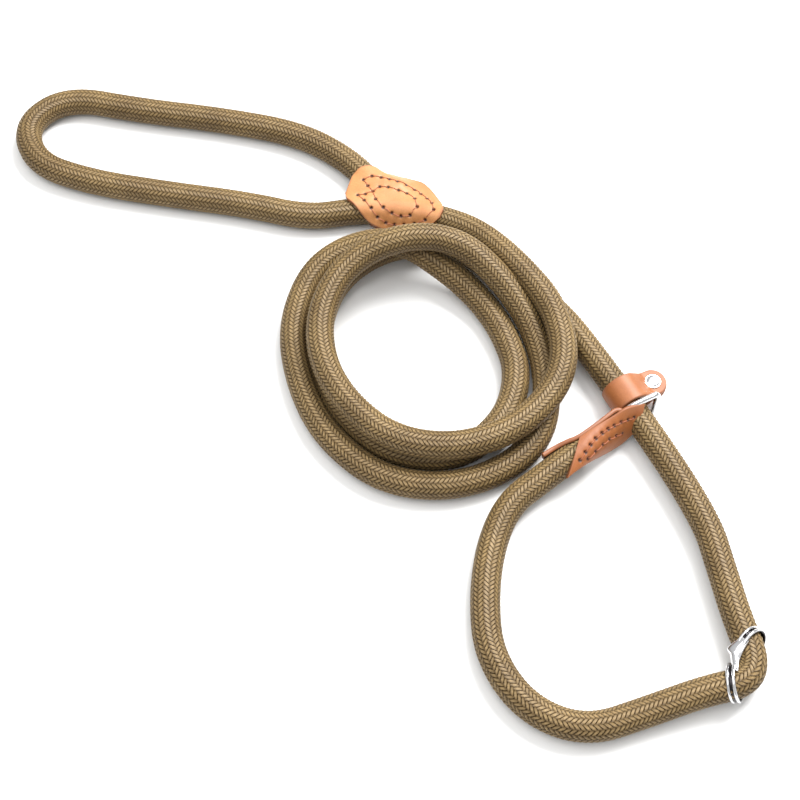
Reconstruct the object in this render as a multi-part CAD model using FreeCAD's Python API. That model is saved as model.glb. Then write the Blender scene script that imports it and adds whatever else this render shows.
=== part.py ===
import FreeCAD, Part
import math
import os

# Rope slip lead for training a dog. It lies on a floor: handle loop, three loose turns, lead, a tight fold
# held by the size limiter, and a noose that ends in a leather cap on a ring that runs along the lead.
# Millimetres, Z up. The floor is Z = 0, and the origin is under the middle of the handle patch.

# ---- Rope and leather
ROPE_D = 12.0
ROPE_R = ROPE_D / 2
LEATHER = 2.0  # strap leather of the end cap and the stopper
PATCH_LEATHER = 1.6
ROPE_GAP = 0.4  # clearance between the rope and what slides along it
THREAD_R = 0.42
RUN_SHARE = 0.45  # an arc takes this share of the shorter of its two runs

# ---- Rope route: points of straight runs, whose corners become arcs
PATCH_ROPE_Z = PATCH_LEATHER + ROPE_R
RAISED_Z = 8.8  # the lead where the ring, the stopper and the limiter hold it off the floor
HANDLE_ROUTE = [
    (1, 7, PATCH_ROPE_Z),
    (-9, 10.5, PATCH_ROPE_Z),
    (-21, 27, 6.4),
    (-45, 42, 6),
    (-82, 50, 6),
    (-122, 56, 6),
    (-157, 65, 6),
    (-178, 47, 6),
    (-169, 24, 6),
    (-141, 13, 6),
    (-105, 6, 6),
    (-68, 0, 6),
    (-40, -7.5, 6),
    (-19, -3.5, 7),
    (2, -3.5, PATCH_ROPE_Z),
    (22, -9, 8.5),
    (39, -19, 13),
]
# Each turn goes clockwise from COIL_START, one (radius, height) for every COIL_STEP degrees.
COIL_CENTRE = (14.0, -80.0)
COIL_START = 45.0
COIL_STEP = 30.0
COIL_TURNS = [
    [(52.5, 18), (55, 18), (58.5, 18), (56, 18), (53, 18), (50, 18),
     (45.5, 18), (45, 18), (47, 18.5), (48, 22), (45.5, 28), (47.5, 24)],
    [(44, 17), (46, 9), (51.5, 6), (62, 6), (63.2, 6), (62, 6),
     (58, 6), (57, 6), (61, 6), (66, 9.5), (55, 17.5), (41, 11)],
    [(35, 6), (34, 6), (38, 6), (43.5, 6), (50, 6), (49.5, 6),
     (46, 6), (45, 6), (48.5, 6), (54.5, 6), (58, 6), (57, 6)],
]
LEAD_ROUTE = [
    (51.5, -42.5, 6),
    (67, -52, 6),
    (82, -73, RAISED_Z),
    (125, -156, RAISED_Z),
    (131, -186, RAISED_Z),
    (134.5, -204.5, RAISED_Z),
]
FOLD_ROUTE = [(139, -220.6, RAISED_Z), (133.8, -229.7, RAISED_Z)]
NOOSE_ROUTE = [
    (118, -233, 8.6),
    (97, -239.5, 6.4),
    (73, -246, 6),
    (52, -236, 6),
    (38, -216, 6),
    (33.5, -193, 6),
    (38, -169, 6.4),
    (47, -152, 9),
    (60.5, -142, 12),
    (85.3, -121.8, 12.5),
]


# ---- Handle patch: two leathers of one outline around the two strands, sewn. Its own axes: along, across, up.
PATCH_TURN = -17.0
PATCH_TOP = 15.8
PATCH_ROUND = 8.0
PATCH_HALF_W = 14.6
PATCH_ARCS = [
    [(-23, -6.5), (-22.4, 0), (-23, 6.5)],
    [(-23, 6.5), (-19.7, 11.3), (-14, 13.7)],
    [(-14, 13.7), (-6, 14.5), (2, 13.2)],
    [(2, 13.2), (10, 10.3), (18.5, 5)],
    [(18.5, 5), (23, 0), (18.5, -5)],
    [(18.5, -5), (10, -10.3), (2, -13.2)],
    [(2, -13.2), (-6, -14.5), (-14, -13.7)],
    [(-14, -13.7), (-19.7, -11.3), (-23, -6.5)],
]
PATCH_HOLES = [
    (-16.6, 5.2), (-13.6, 7.7), (-9.8, 8.9), (-5.8, 9.2), (-1.8, 8.8), (2.2, 7.9), (6.0, 6.6), (9.8, 5.0),
    (13.4, 3.2), (16.8, 0.9), (18.4, -2.4), (14.6, -4.4), (10.8, -6.2), (7.0, -7.7), (3.1, -8.8), (-0.9, -9.4),
    (-4.9, -9.3), (-8.9, -8.5), (-12.6, -7.0), (-15.9, -4.7), (-13.6, -1.9), (-13.8, 2.4),
    (-10.2, 0.6), (-8.0, 3.9), (-4.1, 4.4), (-0.1, 4.2), (3.8, 3.2), (7.4, 1.5),
    (10.4, -1.2), (7.0, -3.2), (3.2, -4.2), (-0.8, -4.7), (-4.8, -4.6), (-8.3, -2.8),
]

# ---- Lead: straight where the slip end and the stopper run
LEAD_FROM = (87.8, -84.2, RAISED_Z)
LEAD_TURN = 27.46  # the axis across the lead; the lead itself runs back along -Y of these axes
STOPPER_AT = 21.5
RING_AT = 30.2

# ---- Stopper: strap round the lead, both ends riveted. Its own axes: across, up the lead, up.
STRAP_W = 11.5
STRAP_IN = ROPE_R + ROPE_GAP
STRAP_OUT = STRAP_IN + LEATHER
STRAP_SLIT = 0.2
STRAP_PINCH = 50.0  # degrees from the tail where the loop leaves the rope
PINCH_OUT = 9.2
PINCH_IN = 8.1
RIVET_AT = 12.85
RIVET_R = 3.5
RIVET_BASE_R = 3.2
RIVET_POST_R = 1.5
RIVET_H = 1.1
RIVET_ROUND = 0.5

# ---- Slip ring: one wire, square to the lead. Its left bar carries the end cap.
WIRE_R = 1.25
RING_LEFT = -9.8
RING_RIGHT = 10.2
RING_LOW = WIRE_R
RING_HIGH = 17.9
RING_BEND = 2.5

# ---- End cap: one strap folded round the ring's left bar. Its own axes: from the bar to the rope, across, up.
CAP_TURN = -140.9
CAP_SEAM = 2.2  # half of the flat edge where its two leaves meet
CAP_SECTIONS = [  # distance from the bar, bottom, top, half width, height of the half width
    (1.7, 4.0, 15.4, 3.4, 9.7),
    (8.0, 1.9, 20.0, 6.2, 11.0),
    (15.0, 0.6, 23.3, 8.2, 12.2),
    (24.0, 0.8, 24.0, 8.3, 12.4),
    (41.0, 0.8, 24.0, 8.3, 12.4),
]
CAP_SIDE = [
    (-10.5, 15.4), (-6, 16.2), (-3, 16.2), (-1.5, 15.4), (1.7, 15.4), (8, 20), (16, 23.6), (24, 24), (31, 20.2),
    (38.8, 13), (31, 5), (24, 0.9), (15, 0.6), (8, 1.9), (1.7, 4.2), (-3.4, 4.2), (-10.5, 12),
]
FOLD_R = 2.9
FOLD_LOW = 4.2
FOLD_HIGH = 15.4
BAR_HOLE_R = WIRE_R + 0.3
LOBE_FROM = 1.55
LOBE_T = 2.2
CHANNEL_R = ROPE_R + 0.3
CHANNEL_FROM = (9.6, 0, 12.5)
CHANNEL_ALONG = (32, 0, -0.5)
CAP_SLIT = 0.2
CAP_HOLES = [
    (4.5, 13.5), (8.2, 15.6), (11.8, 17.9), (15.4, 20.0), (19.2, 21.0), (23.2, 20.8), (26.8, 18.8), (30.0, 16.2),
    (31.6, 12.4), (28.6, 9.2), (25.6, 6.2), (22.2, 4.0), (18.2, 3.4), (14.2, 4.0), (10.2, 5.0), (6.3, 6.6),
]

# ---- Size limiter: a chrome clip of two short sleeves on the fold, joined by a web
SLEEVE_IN = 6.9
SLEEVE_OUT = 8.8
SLEEVE_L = 3.0
SLEEVE_ROUND = 0.6
SLEEVES = [((137.1, -214.0), -62.0), ((132.3, -229.5), -150.0)]  # centre, heading of the axis
WEB = [(126.9, -218.4), (131.8, -214.6), (131.0, -219.2), (131.4, -224.6)]
WEB_LOW = 7.2
WEB_HIGH = 11.4


def coil_points():
    """The coil's route. A corner stands outside the arc that it shapes, by the cosine of half a step."""
    spread = 1 / math.cos(math.radians(COIL_STEP / 2))
    points = []
    for station, (radius, height) in enumerate(sum(COIL_TURNS, [])):
        angle = math.radians(COIL_START - COIL_STEP * station)
        x = COIL_CENTRE[0] + spread * radius * math.cos(angle)
        y = COIL_CENTRE[1] + spread * radius * math.sin(angle)
        points.append((x, y, height))
    return points


def unit(vector):
    return vector * (1 / vector.Length)


def route_edges(points):
    """Straight runs joined by tangent arcs: edge 2k is the run that starts at point k."""
    corners = [FreeCAD.Vector(*point) for point in points]
    edges = []
    start = corners[0]
    smallest = None
    for before, corner, after in zip(corners, corners[1:], corners[2:]):
        run_in = corner - before
        run_out = after - corner
        half_turn = run_in.getAngle(run_out) / 2
        tangent = RUN_SHARE * min(run_in.Length, run_out.Length)
        radius = tangent / math.tan(half_turn)
        inward = unit(unit(run_out) - unit(run_in))
        arc_start = corner - unit(run_in) * tangent
        arc_middle = corner + inward * (radius / math.cos(half_turn) - radius)
        arc_end = corner + unit(run_out) * tangent
        edges.append(Part.LineSegment(start, arc_start).toShape())
        edges.append(Part.Arc(arc_start, arc_middle, arc_end).toShape())
        start = arc_end
        smallest = radius if smallest is None else min(smallest, radius)
    edges.append(Part.LineSegment(start, corners[-1]).toShape())
    print("smallest radius %.1f mm" % smallest)
    return edges


def tube(edges, radius=ROPE_R):
    path = Part.Wire(edges)
    start = edges[0].valueAt(edges[0].FirstParameter)
    heading = edges[0].tangentAt(edges[0].FirstParameter)
    section = Part.Wire(Part.makeCircle(radius, start, heading))
    return path.makePipeShell([section], True, False)


def report_tube(name, edges, shape):
    length = sum(edge.Length for edge in edges)
    ratio = shape.Volume / (math.pi * ROPE_R ** 2 * length)
    print("%s: %.0f mm, volume over section x length %.3f" % (name, length, ratio))
    return length


def local_frame(turn, origin):
    return FreeCAD.Placement(FreeCAD.Vector(*origin), FreeCAD.Rotation(FreeCAD.Vector(0, 0, 1), turn))


def along_lead(distance, across=0.0, z=RAISED_Z):
    """A point of the lead's straight part, from its start towards the noose."""
    turn = math.radians(LEAD_TURN)
    x = LEAD_FROM[0] + distance * math.sin(turn) + across * math.cos(turn)
    y = LEAD_FROM[1] - distance * math.cos(turn) + across * math.sin(turn)
    return (x, y, z)


def put(shape, frame):
    moved = shape.copy()
    moved.Placement = frame.multiply(moved.Placement)
    return moved


def prism(points, low, high):
    """Straight-sided solid of an outline of (x, y) points between two heights."""
    corners = [FreeCAD.Vector(x, y, low) for x, y in points]
    return Part.Face(Part.makePolygon(corners + corners[:1])).extrude(FreeCAD.Vector(0, 0, high - low))


def side_prism(points, low, high):
    """The same for an outline of (x, z) points between two values of y."""
    corners = [FreeCAD.Vector(x, low, z) for x, z in points]
    return Part.Face(Part.makePolygon(corners + corners[:1])).extrude(FreeCAD.Vector(0, high - low, 0))


def heading_cylinder(radius, length, centre, heading):
    """Level cylinder, its middle at the centre and its axis at a heading in degrees."""
    angle = math.radians(heading)
    along = FreeCAD.Vector(math.cos(angle), math.sin(angle), 0)
    return Part.makeCylinder(radius, length, FreeCAD.Vector(*centre) - along * (length / 2), along)


# ---- Rope
def coil_section(radii, heights, angle):
    """Rounded rectangle round every turn of the coil at one angle."""
    inner = min(radii) - ROPE_R
    outer = max(radii) + ROPE_R
    top = max(heights) + ROPE_R
    corner = ROPE_R - 1
    box = Part.makeBox(outer - inner, 1, top, FreeCAD.Vector(inner, -0.5, 0))
    box = box.makeFillet(corner, [edge for edge in box.Edges if abs(edge.tangentAt(0).y) > 0.9])
    section = box.slice(FreeCAD.Vector(0, 1, 0), 0)[0]
    return put(section, local_frame(angle, (COIL_CENTRE[0], COIL_CENTRE[1], 0)))


def coil_ring():
    sections = []
    for step in range(len(COIL_TURNS[0])):
        stations = [turn[step] for turn in COIL_TURNS]
        radii = [radius for radius, height in stations]
        heights = [height for radius, height in stations]
        sections.append(coil_section(radii, heights, COIL_START - COIL_STEP * step))
    return Part.makeLoft(sections, True, False, True)


# ---- Handle patch
def patch_face(z):
    arcs = []
    for ends in PATCH_ARCS:
        points = [FreeCAD.Vector(x, y, z) for x, y in ends]
        arcs.append(Part.Arc(*points).toShape())
    return Part.Face(Part.Wire(arcs))


def patch_pins(low, high):
    up = FreeCAD.Vector(0, 0, 1)
    pins = []
    for x, y in PATCH_HOLES:
        pins.append(Part.makeCylinder(THREAD_R, high - low, FreeCAD.Vector(x, y, low), up))
    return pins


def handle_patch(strands):
    """Upper leather, lower leather, and the thread where it passes through them."""
    frame = local_frame(PATCH_TURN, (0, 0, 0))
    upper = patch_face(PATCH_LEATHER).extrude(FreeCAD.Vector(0, 0, PATCH_TOP - PATCH_LEATHER))
    loaf = Part.makeBox(60, 2 * PATCH_HALF_W, PATCH_TOP, FreeCAD.Vector(-30, -PATCH_HALF_W, 0))
    shoulders = [edge for edge in loaf.Edges if edge.Length > 50 and edge.CenterOfMass.z > 1]
    upper = upper.common(loaf.makeFillet(PATCH_ROUND, shoulders))
    lower = patch_face(0).extrude(FreeCAD.Vector(0, 0, PATCH_LEATHER))
    upper = put(upper, frame).cut(strands)
    lower = put(lower, frame).cut(strands)
    pins = [put(pin, frame) for pin in patch_pins(0, PATCH_TOP)]
    thread = [pin.common(leather) for pin in pins for leather in (upper, lower)]
    return upper.cut(pins), lower.cut(pins), Part.makeCompound(solids_of(thread))


def solids_of(shapes):
    return [solid for shape in shapes for solid in shape.Solids]


# ---- Stopper
def strap_section(radius, pinch, half_tail, tail_end):
    """Outline of the strap seen along the lead: a circle drawn out to a flat tail."""
    angle = math.radians(STRAP_PINCH)
    leave = (radius * math.cos(angle), radius * math.sin(angle))
    circle = Part.makeCylinder(radius, STRAP_W, FreeCAD.Vector(0, -STRAP_W / 2, 0), FreeCAD.Vector(0, 1, 0))
    neck = side_prism(
        [(0, 0), leave, (pinch, half_tail), (tail_end, half_tail), (tail_end, -half_tail), (pinch, -half_tail),
         (leave[0], -leave[1])],
        -STRAP_W / 2, STRAP_W / 2)
    return circle.fuse(neck)


def stopper():
    """Strap, rivet cap with its post, rivet base."""
    half_w = STRAP_W / 2
    half_tail = LEATHER + STRAP_SLIT / 2
    end = RIVET_AT + half_w
    strap = strap_section(STRAP_OUT, PINCH_OUT, half_tail, end)
    strap = strap.cut(strap_section(STRAP_IN, PINCH_IN, STRAP_SLIT / 2, end))
    body = Part.makeBox(RIVET_AT + STRAP_OUT, STRAP_W, 40, FreeCAD.Vector(-STRAP_OUT, -half_w, -20))
    tail = Part.makeCylinder(half_w, 40, FreeCAD.Vector(RIVET_AT, 0, -20))
    strap = strap.common(body.fuse(tail))
    post = Part.makeCylinder(RIVET_POST_R, 2 * half_tail, FreeCAD.Vector(RIVET_AT, 0, -half_tail))
    strap = strap.cut(post)
    head = Part.makeCylinder(RIVET_R, RIVET_H, FreeCAD.Vector(RIVET_AT, 0, half_tail))
    base = Part.makeCylinder(RIVET_BASE_R, RIVET_H, FreeCAD.Vector(RIVET_AT, 0, -half_tail - RIVET_H))
    head = head.makeFillet(RIVET_ROUND, [highest_edge(head)])
    base = base.makeFillet(RIVET_ROUND, [lowest_edge(base)])
    frame = local_frame(LEAD_TURN, along_lead(STOPPER_AT))
    return [put(shape, frame) for shape in (strap, head.fuse(post), base)]


def highest_edge(shape):
    return max(shape.Edges, key=lambda edge: edge.BoundBox.ZMin)


def lowest_edge(shape):
    return min(shape.Edges, key=lambda edge: edge.BoundBox.ZMax)


# ---- Slip ring
def slip_ring():
    """The wire's centre line is a rounded rectangle, made of two halves so that each is a simple sweep."""
    middle = (RING_LEFT + RING_RIGHT) / 2
    halves = []
    for side in (RING_LEFT, RING_RIGHT):
        inward = RING_BEND if side < middle else -RING_BEND
        give = (1 - math.sqrt(0.5)) * RING_BEND
        give_in = give if side < middle else -give
        points = [
            (middle, RING_LOW), (side + inward, RING_LOW), (side + give_in, RING_LOW + give),
            (side, RING_LOW + RING_BEND), (side, RING_HIGH - RING_BEND), (side + give_in, RING_HIGH - give),
            (side + inward, RING_HIGH), (middle, RING_HIGH),
        ]
        a, b, b_mid, c, d, d_mid, e, f = [FreeCAD.Vector(x, 0, z) for x, z in points]
        edges = [Part.LineSegment(a, b), Part.Arc(b, b_mid, c), Part.LineSegment(c, d), Part.Arc(d, d_mid, e),
                 Part.LineSegment(e, f)]
        halves.append(tube([edge.toShape() for edge in edges], WIRE_R))
    ring = halves[0].fuse(halves[1]).removeSplitter()
    return put(ring, local_frame(LEAD_TURN, along_lead(RING_AT, z=0)))


# ---- End cap
def cap_section(distance, bottom, top, half_w, middle):
    """Two leaves that bulge over the rope and meet in a flat edge above and below."""
    low_in = FreeCAD.Vector(distance, CAP_SEAM, bottom)
    high_in = FreeCAD.Vector(distance, CAP_SEAM, top)
    low_out = FreeCAD.Vector(distance, -CAP_SEAM, bottom)
    high_out = FreeCAD.Vector(distance, -CAP_SEAM, top)
    near = Part.Arc(low_in, FreeCAD.Vector(distance, half_w, middle), high_in)
    far = Part.Arc(high_out, FreeCAD.Vector(distance, -half_w, middle), low_out)
    edges = [near, Part.LineSegment(high_in, high_out), far, Part.LineSegment(low_out, low_in)]
    return Part.Wire([edge.toShape() for edge in edges])


def end_cap():
    """Leather and the thread where it passes through it."""
    up = FreeCAD.Vector(0, 0, 1)
    frame = local_frame(CAP_TURN, along_lead(RING_AT, RING_LEFT, 0))
    side = side_prism(CAP_SIDE, -10, 10)
    leaves = Part.makeLoft([cap_section(*values) for values in CAP_SECTIONS], True, True).common(side)
    fold_h = FOLD_HIGH - FOLD_LOW
    fold = Part.makeCylinder(FOLD_R, fold_h, FreeCAD.Vector(0, 0, FOLD_LOW), up)
    leaves = put(leaves.fuse(fold), frame)
    lobe_slab = Part.makeBox(16, LOBE_T, 20, FreeCAD.Vector(RING_LEFT - 2, -LOBE_FROM - LOBE_T, 0))
    lobe_slab = put(lobe_slab, local_frame(LEAD_TURN, along_lead(RING_AT, z=0)))
    leaves = leaves.fuse(lobe_slab.common(put(side, frame)))
    lead_gap = Part.makeCylinder(
        STRAP_IN, 60, FreeCAD.Vector(*along_lead(RING_AT - 30)),
        FreeCAD.Vector(*along_lead(1)) - FreeCAD.Vector(*along_lead(0)))
    bar = Part.makeCylinder(BAR_HOLE_R, 60, FreeCAD.Vector(0, 0, -20), up)
    channel = Part.makeCylinder(
        CHANNEL_R, 40, FreeCAD.Vector(*CHANNEL_FROM), FreeCAD.Vector(*CHANNEL_ALONG))
    slit = Part.makeBox(50, CAP_SLIT, 40, FreeCAD.Vector(0, -CAP_SLIT / 2, -10))
    leaves = leaves.cut([lead_gap, put(bar, frame), put(channel, frame), put(slit, frame)])
    pins = []
    for x, z in CAP_HOLES:
        pin = Part.makeCylinder(THREAD_R, 20, FreeCAD.Vector(x, -10, z), FreeCAD.Vector(0, 1, 0))
        pins.append(put(pin, frame))
    thread = [pin.common(leaves) for pin in pins]
    return leaves.cut(pins), Part.makeCompound(solids_of(thread))


# ---- Size limiter
def size_limiter(bight):
    clip = prism(WEB, WEB_LOW, WEB_HIGH)
    for (x, y), heading in SLEEVES:
        sleeve = heading_cylinder(SLEEVE_OUT, SLEEVE_L, (x, y, RAISED_Z), heading)
        sleeve = sleeve.makeFillet(SLEEVE_ROUND, [edge for edge in sleeve.Edges if edge.Closed])
        clip = clip.fuse(sleeve)
    for (x, y), heading in SLEEVES:
        clip = clip.cut(heading_cylinder(SLEEVE_IN, SLEEVE_L + 2, (x, y, RAISED_Z), heading))
    return clip.cut(bight)


def main():
    os.makedirs("parts", exist_ok=True)
    route = HANDLE_ROUTE + coil_points() + LEAD_ROUTE + FOLD_ROUTE + NOOSE_ROUTE
    coil_from = len(HANDLE_ROUTE)
    lead_from = coil_from + len(coil_points())
    lead_end_from = lead_from + 3
    fold_from = lead_from + len(LEAD_ROUTE)
    noose_from = fold_from + len(FOLD_ROUTE)
    edges = route_edges(route)
    stretches = {
        "rope_handle": edges[:2 * coil_from],
        "rope_lead": edges[2 * lead_from:2 * lead_end_from + 1],
        "rope_lead_end": edges[2 * lead_end_from + 1:2 * fold_from - 2],
        "rope_bight": edges[2 * fold_from - 2:2 * noose_from - 1],
        "rope_noose": edges[2 * noose_from - 1:],
    }
    nodes = {}
    total = sum(edge.Length for edge in edges)
    for name, stretch in stretches.items():
        nodes[name] = tube(stretch)
        report_tube(name, stretch, nodes[name])
    print("rope %.0f mm" % total)
    nodes["rope_coil"] = coil_ring().cut([nodes["rope_handle"], nodes["rope_lead"]])
    top, bottom, thread = handle_patch([nodes["rope_handle"]])
    nodes["handle_patch_top"] = top
    nodes["handle_patch_bottom"] = bottom
    nodes["handle_patch_stitching"] = thread
    nodes["stopper_strap"], nodes["rivet_cap"], nodes["rivet_base"] = stopper()
    nodes["slip_ring"] = slip_ring()
    nodes["end_cap"], nodes["end_cap_stitching"] = end_cap()
    nodes["size_limiter"] = size_limiter(nodes["rope_bight"])
    for name, shape in nodes.items():
        box = shape.BoundBox
        print("%-24s valid %s solids %d volume %.0f  x %.1f %.1f  y %.1f %.1f  z %.1f %.1f" % (
            name, shape.isValid(), len(shape.Solids), shape.Volume,
            box.XMin, box.XMax, box.YMin, box.YMax, box.ZMin, box.ZMax))
        shape.exportStep("parts/" + name + ".step")


main()
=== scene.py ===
"""Rope slip lead on a white floor: braided rope, sewn tan leather and chrome fittings. Metres, Z up."""
import math

import bpy
import numpy as np
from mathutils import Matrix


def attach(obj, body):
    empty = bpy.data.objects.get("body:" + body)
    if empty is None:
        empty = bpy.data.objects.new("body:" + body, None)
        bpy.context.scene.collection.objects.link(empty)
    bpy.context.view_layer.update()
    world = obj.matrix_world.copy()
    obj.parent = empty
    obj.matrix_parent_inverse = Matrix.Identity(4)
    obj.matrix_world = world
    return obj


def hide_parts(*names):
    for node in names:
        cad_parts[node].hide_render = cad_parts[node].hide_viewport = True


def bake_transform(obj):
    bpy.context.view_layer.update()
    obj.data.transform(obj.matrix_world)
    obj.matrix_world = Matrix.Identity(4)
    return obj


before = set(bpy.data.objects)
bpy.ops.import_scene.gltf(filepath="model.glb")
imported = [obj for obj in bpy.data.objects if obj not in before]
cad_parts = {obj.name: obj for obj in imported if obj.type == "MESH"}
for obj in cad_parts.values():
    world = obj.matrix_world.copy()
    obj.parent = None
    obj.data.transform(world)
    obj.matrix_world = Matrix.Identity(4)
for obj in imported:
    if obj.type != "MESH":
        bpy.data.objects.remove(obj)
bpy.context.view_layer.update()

MM = 0.001
ROPE_R = 6.0  # millimetres, like every length below until a mesh is made

# ---- Rope route: the part's points in millimetres, some moved by up to 10 mm
RAISED_Z = 8.8
HANDLE_ROUTE = [
    (1, 5.4, 6.6), (-9, 8.6, 6.6), (-21, 25.2, 6), (-45, 41.5, 6), (-82, 50, 6), (-122, 56, 6),
    (-157, 64, 6), (-175.8, 47, 6), (-168, 24, 6), (-141, 13, 6), (-105, 6, 6), (-68, 0, 6), (-40, -7.5, 6),
    (-19, -4, 6.4), (2, -4, 6.8), (22, -9.5, 7.8), (38, -20.3, 12),
]
COIL_CENTRE = (14.0, -80.0)
COIL_START = 45.0
COIL_STEP = 30.0
COIL_TURNS = [
    [(53.5, 18), (55.5, 18), (58.5, 18), (56, 18), (53, 18), (50, 18),
     (45.5, 18), (45, 18), (47, 18.5), (49, 22), (46.6, 28), (47.8, 24)],
    [(44, 17), (46, 9), (52, 6), (63, 6), (64.6, 6), (63.4, 6),
     (57.9, 6), (55.3, 6), (60, 6), (65.4, 9.5), (55, 17), (39.4, 10.5)],
    [(34.6, 6), (33.8, 6), (39, 6), (45, 6), (51, 6), (50, 6),
     (46, 6), (45, 6), (48.5, 6), (54.5, 6), (58, 6), (57, 6)],
]
LEAD_ROUTE = [
    (51.5, -42.5, 6), (66, -52.8, 6), (80.5, -73.5, 8), (124.8, -156, RAISED_Z), (130.4, -186.2, RAISED_Z),
    (133.9, -204.6, RAISED_Z),
]
FOLD_ROUTE = [(138.5, -220.6, RAISED_Z), (133.8, -229.7, RAISED_Z)]
NOOSE_ROUTE = [
    (118, -233, 8.6), (97, -240, 6.4), (72.4, -248.2, 6), (50.2, -239.3, 6), (36.4, -218, 6), (35.1, -193, 6),
    (38.9, -169.4, 6), (47, -152, 6.6), (60.5, -142, 7.9), (78.3, -127.5, 8.3),
]

# ---- Braid: columns round the rope, each a stack of floats that all lean one way
COLUMNS = 16
PITCH = 1.9  # from one float to the next along the rope
PER_CELL = 4  # rings to a float, and points to a column
FIBRES = 7  # fine threads across one yarn
FLOAT_LIFT = 0.24  # how far a float stands over the crossing
YARN_H = 0.62
YARN_POWER = 3.0  # 2 is a round yarn, more is a plumper one
RELIEF_R = ROPE_R - 0.2


def coil_points():
    spread = 1 / math.cos(math.radians(COIL_STEP / 2))
    points = []
    for station, (radius, height) in enumerate(sum(COIL_TURNS, [])):
        angle = math.radians(COIL_START - COIL_STEP * station)
        x = COIL_CENTRE[0] + spread * radius * math.cos(angle)
        y = COIL_CENTRE[1] + spread * radius * math.sin(angle)
        points.append((x, y, height))
    return points


def spline_line(points):
    """The points of the NURBS spline through the route, as Blender gives them for a curve with no bevel."""
    data = bpy.data.curves.new("route", "CURVE")
    data.dimensions = "3D"
    data.resolution_u = 160
    spline = data.splines.new("NURBS")
    spline.points.add(len(points) - 1)
    for slot, point in zip(spline.points, points):
        slot.co = (*[value * MM for value in point], 1)
    spline.order_u = 3
    spline.use_endpoint_u = True
    curve = bpy.data.objects.new("route", data)
    mesh = bpy.data.meshes.new_from_object(curve)
    line = np.array([vertex.co[:] for vertex in mesh.vertices]) / MM
    bpy.data.objects.remove(curve)
    bpy.data.meshes.remove(mesh)
    return line


def lengths_along(line):
    return np.concatenate([[0], np.cumsum(np.linalg.norm(np.diff(line, axis=0), axis=1))])


def units(vectors):
    return vectors / np.linalg.norm(vectors, axis=-1, keepdims=True)


def carried_frames(line):
    """Tangent, side and top at each point, carried along so that the braid doesn't twist."""
    tangents = units(np.gradient(line, axis=0))
    side = np.cross(tangents[0], (0, 0, 1))
    sides = []
    for tangent in tangents:
        side = side - tangent * np.dot(side, tangent)
        side = side / np.linalg.norm(side)
        sides.append(side)
    sides = np.array(sides)
    return tangents, sides, np.cross(sides, tangents)


def grid_mesh(name, points, uvs, close_v=False, caps=False):
    """Quads over a grid of points [along, across], smooth, with its own UV map."""
    rows, columns = points.shape[:2]
    mesh = bpy.data.meshes.new(name)
    i, j = np.meshgrid(np.arange(rows - 1), np.arange(columns if close_v else columns - 1), indexing="ij")
    k = (j + 1) % columns
    here = i * columns
    ahead = here + columns
    faces = np.stack([here + j, here + k, ahead + k, ahead + j], axis=-1)
    faces = faces.reshape(-1, 4)
    uv = np.stack([uvs[i, j], uvs[i, j + 1], uvs[i + 1, j + 1], uvs[i + 1, j]], axis=-2).reshape(-1, 2)
    loops = faces.reshape(-1)
    starts = np.arange(0, len(loops), 4)
    totals = np.full(len(faces), 4)
    if caps:
        first = np.arange(columns)[::-1]
        last = np.arange(columns) + (rows - 1) * columns
        loops = np.concatenate([loops, first, last])
        starts = np.concatenate([starts, [len(faces) * 4, len(faces) * 4 + columns]])
        totals = np.concatenate([totals, [columns, columns]])
        uv = np.concatenate([uv, np.zeros((2 * columns, 2))])
    mesh.vertices.add(rows * columns)
    mesh.vertices.foreach_set("co", (points * MM).reshape(-1))
    mesh.loops.add(len(loops))
    mesh.loops.foreach_set("vertex_index", loops.astype(np.int32))
    mesh.polygons.add(len(starts))
    mesh.polygons.foreach_set("loop_start", starts.astype(np.int32))
    mesh.polygons.foreach_set("loop_total", totals.astype(np.int32))
    mesh.update(calc_edges=True)
    layer = mesh.uv_layers.new(name="weave")
    layer.data.foreach_set("uv", uv.reshape(-1))
    mesh.polygons.foreach_set("use_smooth", np.ones(len(starts), dtype=bool))
    mesh.validate()
    piece = bpy.data.objects.new(name, mesh)
    bpy.context.scene.collection.objects.link(piece)
    return piece


def yarn(across):
    """Plump cross-section of a yarn, from 0 at its edges to 1 on its middle."""
    off = np.abs(across - np.round(across)) * 2
    return np.sqrt(np.clip(1 - off ** YARN_POWER, 0, 1))


def braid_height(u, v):
    """Height over the crossing level at column u and pitch v: the higher of the two families of yarns."""
    over = FLOAT_LIFT * np.cos(math.pi * (u - 0.25))
    rising = over + YARN_H * (yarn(v - u) - 1)
    falling = -over + YARN_H * (yarn(v + u) - 1)
    return np.maximum(rising, falling)


class Rope:
    """The whole rope's centre line, from which each piece takes its own stretch."""

    def __init__(self, points):
        line = spline_line(points)
        along = lengths_along(line)
        self.length = along[-1]
        rings = np.arange(0, self.length, PITCH / PER_CELL)
        self.along = rings
        self.line = np.stack([np.interp(rings, along, line[:, axis]) for axis in range(3)], axis=1)
        self.tangents, self.sides, self.tops = carried_frames(self.line)

    def ring_near(self, point):
        return int(np.linalg.norm(self.line - np.array(point), axis=1).argmin())

    def piece(self, name, first, last):
        pick = slice(first, last + 1)
        u = np.arange(COLUMNS * PER_CELL + 1) / PER_CELL
        v = self.along[pick] / PITCH
        uvs = np.stack(np.broadcast_arrays(u[None, :], v[:, None]), axis=-1)
        angles = u[:-1] * 2 * math.pi / COLUMNS
        radius = RELIEF_R + braid_height(uvs[:, :-1, 0], uvs[:, :-1, 1])
        ring = (np.cos(angles)[None, :, None] * self.sides[pick][:, None]
                + np.sin(angles)[None, :, None] * self.tops[pick][:, None])
        points = self.line[pick][:, None] + ring * radius[..., None]
        points[..., 2] = np.maximum(points[..., 2], 0)
        return grid_mesh(name, points, uvs, close_v=True, caps=True)


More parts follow.
